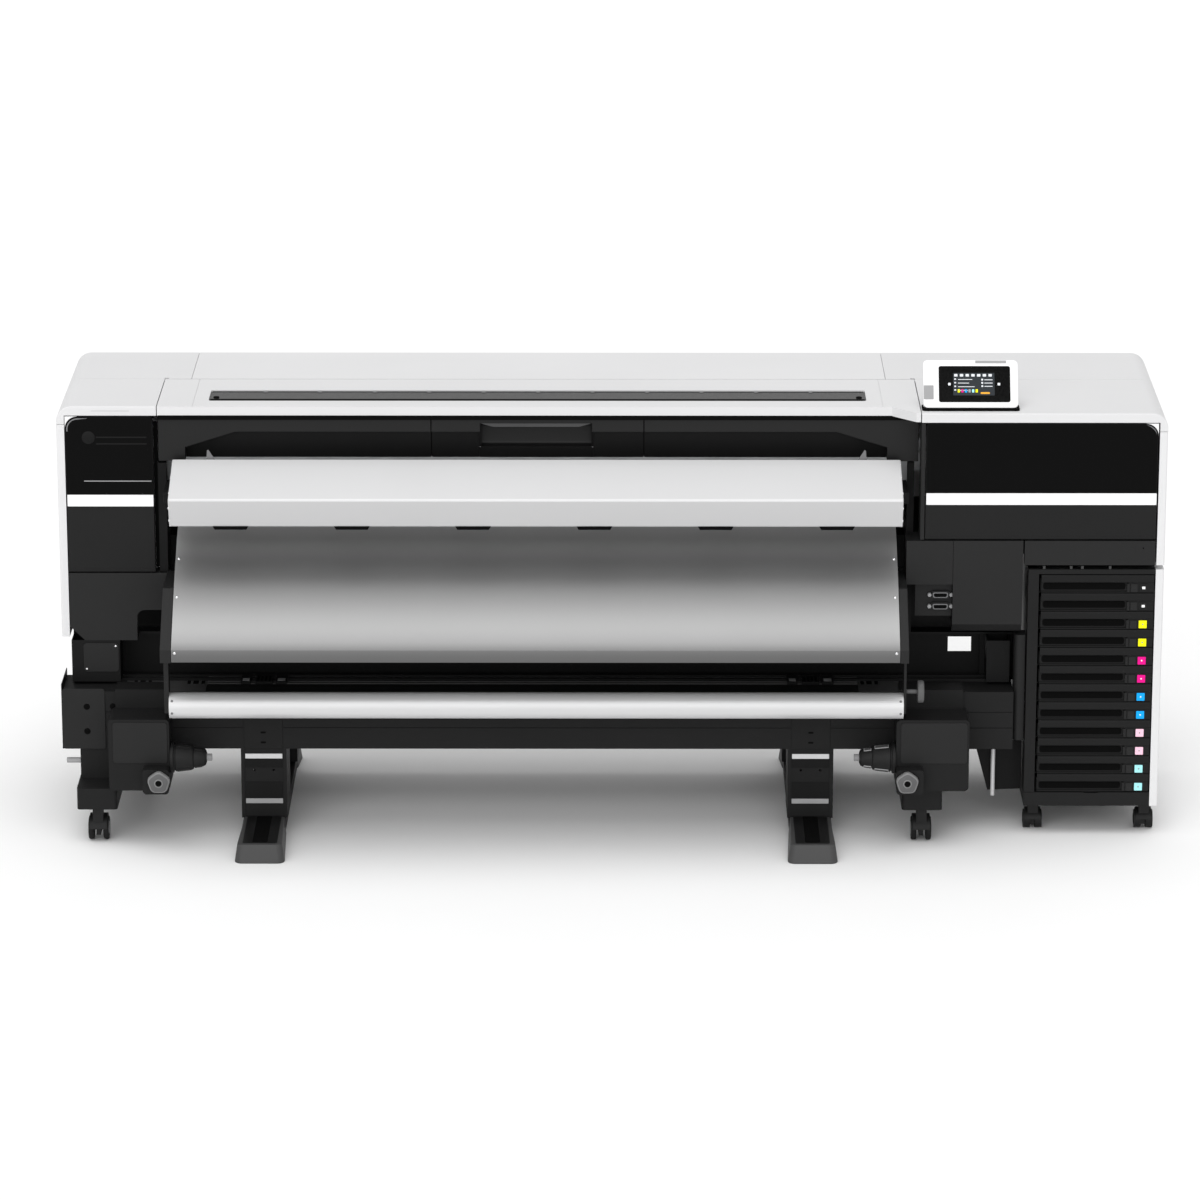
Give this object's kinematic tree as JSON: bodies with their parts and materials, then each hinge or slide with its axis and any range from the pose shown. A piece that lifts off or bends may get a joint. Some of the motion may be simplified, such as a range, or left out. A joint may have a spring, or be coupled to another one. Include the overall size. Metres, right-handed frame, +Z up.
{
  "type": "wide-format roll printer",
  "caption": "Wide-format roll printer on a stand with a hinged front cover, tilting touch panel, drying hood, heated guide, take-up unit and a pull-out ink tray cabinet.",
  "frame": {"origin": "on the floor, under the middle of the machine's overall box", "axes": "+X along the width to the operator's right, -Y towards the operator, +Z up"},
  "size_m": [2.955, 0.934, 1.2964],
  "materials": {
    "cover_white": "fine texture, satin",
    "panel_white": "satin powder coat",
    "cover_charcoal": "fine texture",
    "door_charcoal": "gloss over textured lower part",
    "fascia_black": "fine texture",
    "frame_charcoal": "powder coat",
    "chassis_steel": "powder coat",
    "foot_grey": "moulded",
    "sheet_metal": "satin",
    "hood_white": "satin powder coat",
    "tube_silver": "satin",
    "rail_aluminium": "anodised",
    "roller_steel": "knurled",
    "rubber_black": "matte",
    "window_smoked": "smoked",
    "screen_glass": "gloss black",
    "panel_case": "satin",
    "knob_grey": "moulded",
    "tray_black": "fine texture",
    "caster_body": "moulded",
    "caster_tread": "matte"
  },
  "bodies": {
    "printer": {"stand_beam": "frame_charcoal", "stand_frame": "frame_charcoal", "stand_feet": "foot_grey", "chassis": "chassis_steel", "left_side_panel": "panel_white", "right_side_panel": "panel_white", "left_top_cover": "cover_white", "right_top_cover": "cover_white", "rear_cover": "panel_white", "left_lower_cover": "cover_charcoal", "right_lower_cover": "cover_charcoal", "drying_unit": "hood_white", "heater_panel": "sheet_metal", "platen": "rail_aluminium", "carriage_rail": "rail_aluminium", "guide_tube": "tube_silver", "ink_cabinet": "frame_charcoal", "cabinet_side_panel": "panel_white", "rear_feed_unit": "frame_charcoal"},
    "front_cover": {"front_cover_frame": "cover_white", "front_cover_fascia": "fascia_black", "front_cover_window": "window_smoked"},
    "left_door": {"left_maintenance_cover": "door_charcoal"},
    "right_door": {"right_maintenance_cover": "door_charcoal"},
    "control_panel": {"panel_housing": "panel_case", "panel_screen": "screen_glass"},
    "print_carriage": {"carriage": "fascia_black"},
    "feed_roller": {"grit_roller": "roller_steel"},
    "pinch_roller_set": {"pinch_rollers": "rubber_black"},
    "takeup_unit_left": {"takeup_left": "frame_charcoal"},
    "takeup_unit_right": {"takeup_right": "frame_charcoal"},
    "takeup_core_left": {"core_holder_left": "caster_body"},
    "takeup_core_right": {"core_holder_right": "caster_body"},
    "clamp_knob_left": {"knob_left": "knob_grey"},
    "clamp_knob_right": {"knob_right": "knob_grey"},
    "feed_wheel": {"feed_handwheel": "knob_grey"},
    "tray_01": {"ink_tray_01": "tray_black"},
    "tray_02": {"ink_tray_02": "tray_black"},
    "tray_03": {"ink_tray_03": "tray_black"},
    "tray_04": {"ink_tray_04": "tray_black"},
    "tray_05": {"ink_tray_05": "tray_black"},
    "tray_06": {"ink_tray_06": "tray_black"},
    "tray_07": {"ink_tray_07": "tray_black"},
    "tray_08": {"ink_tray_08": "tray_black"},
    "tray_09": {"ink_tray_09": "tray_black"},
    "tray_10": {"ink_tray_10": "tray_black"},
    "tray_11": {"ink_tray_11": "tray_black"},
    "tray_12": {"ink_tray_12": "tray_black"},
    "caster_front_left": {"caster_fork_front_left": "caster_body"},
    "wheels_front_left": {"caster_wheels_front_left": "caster_tread"},
    "caster_front_right": {"caster_fork_front_right": "caster_body"},
    "wheels_front_right": {"caster_wheels_front_right": "caster_tread"},
    "caster_rear_left": {"caster_fork_rear_left": "caster_body"},
    "wheels_rear_left": {"caster_wheels_rear_left": "caster_tread"},
    "caster_rear_right": {"caster_fork_rear_right": "caster_body"},
    "wheels_rear_right": {"caster_wheels_rear_right": "caster_tread"},
    "cabinet_caster_1_swivel": {"cabinet_caster_1": "caster_body"},
    "cabinet_caster_2_swivel": {"cabinet_caster_2": "caster_body"},
    "cabinet_caster_3_swivel": {"cabinet_caster_3": "caster_body"},
    "cabinet_caster_4_swivel": {"cabinet_caster_4": "caster_body"}
  },
  "joints": [
    {"name": "front_cover_hinge", "type": "hinge", "parent": "printer", "child": "front_cover", "pos_m": [-0.193, 0.156, 1.171], "axis": [-1, 0, 0], "range_deg": [0, 70]},
    {"name": "left_door_hinge", "type": "hinge", "parent": "printer", "child": "left_door", "pos_m": [-1.3375, -0.145, 0.722], "axis": [1, 0, 0], "range_deg": [0, 90]},
    {"name": "right_door_hinge", "type": "hinge", "parent": "printer", "child": "right_door", "pos_m": [1.1445, -0.216, 0.834], "axis": [1, 0, 0], "range_deg": [0, 90]},
    {"name": "panel_tilt", "type": "hinge", "parent": "printer", "child": "control_panel", "pos_m": [0.956, -0.142, 1.193], "axis": [1, 0, 0], "range_deg": [-40, 0]},
    {"name": "carriage_travel", "type": "slide", "parent": "printer", "child": "print_carriage", "axis": [1, 0, 0], "range_m": [-2.28, 0]},
    {"name": "feed_roller_spin", "type": "hinge", "parent": "printer", "child": "feed_roller", "pos_m": [-0.198, 0.085, 0.838], "axis": [1, 0, 0], "continuous": true},
    {"name": "pinch_roller_spin", "type": "hinge", "parent": "printer", "child": "pinch_roller_set", "pos_m": [-0.198, 0.085, 0.8634], "axis": [1, 0, 0], "continuous": true},
    {"name": "takeup_left_slide", "type": "slide", "parent": "printer", "child": "takeup_unit_left", "axis": [1, 0, 0], "range_m": [0, 0.6]},
    {"name": "takeup_right_slide", "type": "slide", "parent": "printer", "child": "takeup_unit_right", "axis": [1, 0, 0], "range_m": [-0.5, 0]},
    {"name": "takeup_core_left_spin", "type": "hinge", "parent": "takeup_unit_left", "child": "takeup_core_left", "pos_m": [-1.18, -0.3, 0.245], "axis": [1, 0, 0], "continuous": true},
    {"name": "takeup_core_right_spin", "type": "hinge", "parent": "takeup_unit_right", "child": "takeup_core_right", "pos_m": [0.764, -0.3, 0.245], "axis": [1, 0, 0], "continuous": true},
    {"name": "knob_left_turn", "type": "hinge", "parent": "takeup_unit_left", "child": "clamp_knob_left", "pos_m": [-1.206, -0.341, 0.2], "axis": [0, -1, 0], "continuous": true},
    {"name": "knob_right_turn", "type": "hinge", "parent": "takeup_unit_right", "child": "clamp_knob_right", "pos_m": [0.792, -0.341, 0.2], "axis": [0, -1, 0], "continuous": true},
    {"name": "feed_wheel_turn", "type": "hinge", "parent": "printer", "child": "feed_wheel", "pos_m": [0.892, 0.2, 0.29], "axis": [1, 0, 0], "continuous": true},
    {"name": "tray_01_slide", "type": "slide", "parent": "printer", "child": "tray_01", "axis": [0, -1, 0], "range_m": [0, 0.28]},
    {"name": "tray_02_slide", "type": "slide", "parent": "printer", "child": "tray_02", "axis": [0, -1, 0], "range_m": [0, 0.28]},
    {"name": "tray_03_slide", "type": "slide", "parent": "printer", "child": "tray_03", "axis": [0, -1, 0], "range_m": [0, 0.28]},
    {"name": "tray_04_slide", "type": "slide", "parent": "printer", "child": "tray_04", "axis": [0, -1, 0], "range_m": [0, 0.28]},
    {"name": "tray_05_slide", "type": "slide", "parent": "printer", "child": "tray_05", "axis": [0, -1, 0], "range_m": [0, 0.28]},
    {"name": "tray_06_slide", "type": "slide", "parent": "printer", "child": "tray_06", "axis": [0, -1, 0], "range_m": [0, 0.28]},
    {"name": "tray_07_slide", "type": "slide", "parent": "printer", "child": "tray_07", "axis": [0, -1, 0], "range_m": [0, 0.28]},
    {"name": "tray_08_slide", "type": "slide", "parent": "printer", "child": "tray_08", "axis": [0, -1, 0], "range_m": [0, 0.28]},
    {"name": "tray_09_slide", "type": "slide", "parent": "printer", "child": "tray_09", "axis": [0, -1, 0], "range_m": [0, 0.28]},
    {"name": "tray_10_slide", "type": "slide", "parent": "printer", "child": "tray_10", "axis": [0, -1, 0], "range_m": [0, 0.28]},
    {"name": "tray_11_slide", "type": "slide", "parent": "printer", "child": "tray_11", "axis": [0, -1, 0], "range_m": [0, 0.28]},
    {"name": "tray_12_slide", "type": "slide", "parent": "printer", "child": "tray_12", "axis": [0, -1, 0], "range_m": [0, 0.28]},
    {"name": "swivel_front_left", "type": "hinge", "parent": "printer", "child": "caster_front_left", "pos_m": [-1.38, -0.274, 0.096], "axis": [0, 0, 1], "continuous": true},
    {"name": "roll_front_left", "type": "hinge", "parent": "caster_front_left", "child": "wheels_front_left", "pos_m": [-1.38, -0.256, 0.0325], "axis": [1, 0, 0], "continuous": true},
    {"name": "swivel_front_right", "type": "hinge", "parent": "printer", "child": "caster_front_right", "pos_m": [0.837, -0.274, 0.096], "axis": [0, 0, 1], "continuous": true},
    {"name": "roll_front_right", "type": "hinge", "parent": "caster_front_right", "child": "wheels_front_right", "pos_m": [0.837, -0.256, 0.0325], "axis": [1, 0, 0], "continuous": true},
    {"name": "swivel_rear_left", "type": "hinge", "parent": "printer", "child": "caster_rear_left", "pos_m": [-1.38, 0.274, 0.096], "axis": [0, 0, 1], "continuous": true},
    {"name": "roll_rear_left", "type": "hinge", "parent": "caster_rear_left", "child": "wheels_rear_left", "pos_m": [-1.38, 0.292, 0.0325], "axis": [1, 0, 0], "continuous": true},
    {"name": "swivel_rear_right", "type": "hinge", "parent": "printer", "child": "caster_rear_right", "pos_m": [0.837, 0.274, 0.096], "axis": [0, 0, 1], "continuous": true},
    {"name": "roll_rear_right", "type": "hinge", "parent": "caster_rear_right", "child": "wheels_rear_right", "pos_m": [0.837, 0.292, 0.0325], "axis": [1, 0, 0], "continuous": true},
    {"name": "swivel_cabinet_1", "type": "hinge", "parent": "printer", "child": "cabinet_caster_1_swivel", "pos_m": [1.145, -0.165, 0.082], "axis": [0, 0, 1], "continuous": true},
    {"name": "swivel_cabinet_2", "type": "hinge", "parent": "printer", "child": "cabinet_caster_2_swivel", "pos_m": [1.145, 0.32, 0.082], "axis": [0, 0, 1], "continuous": true},
    {"name": "swivel_cabinet_3", "type": "hinge", "parent": "printer", "child": "cabinet_caster_3_swivel", "pos_m": [1.446, -0.165, 0.082], "axis": [0, 0, 1], "continuous": true},
    {"name": "swivel_cabinet_4", "type": "hinge", "parent": "printer", "child": "cabinet_caster_4_swivel", "pos_m": [1.446, 0.32, 0.082], "axis": [0, 0, 1], "continuous": true}
  ],
  "couplings": [
    {"joint": "pinch_roller_spin", "follows": "feed_roller_spin", "ratio": -1.5}
  ]
}
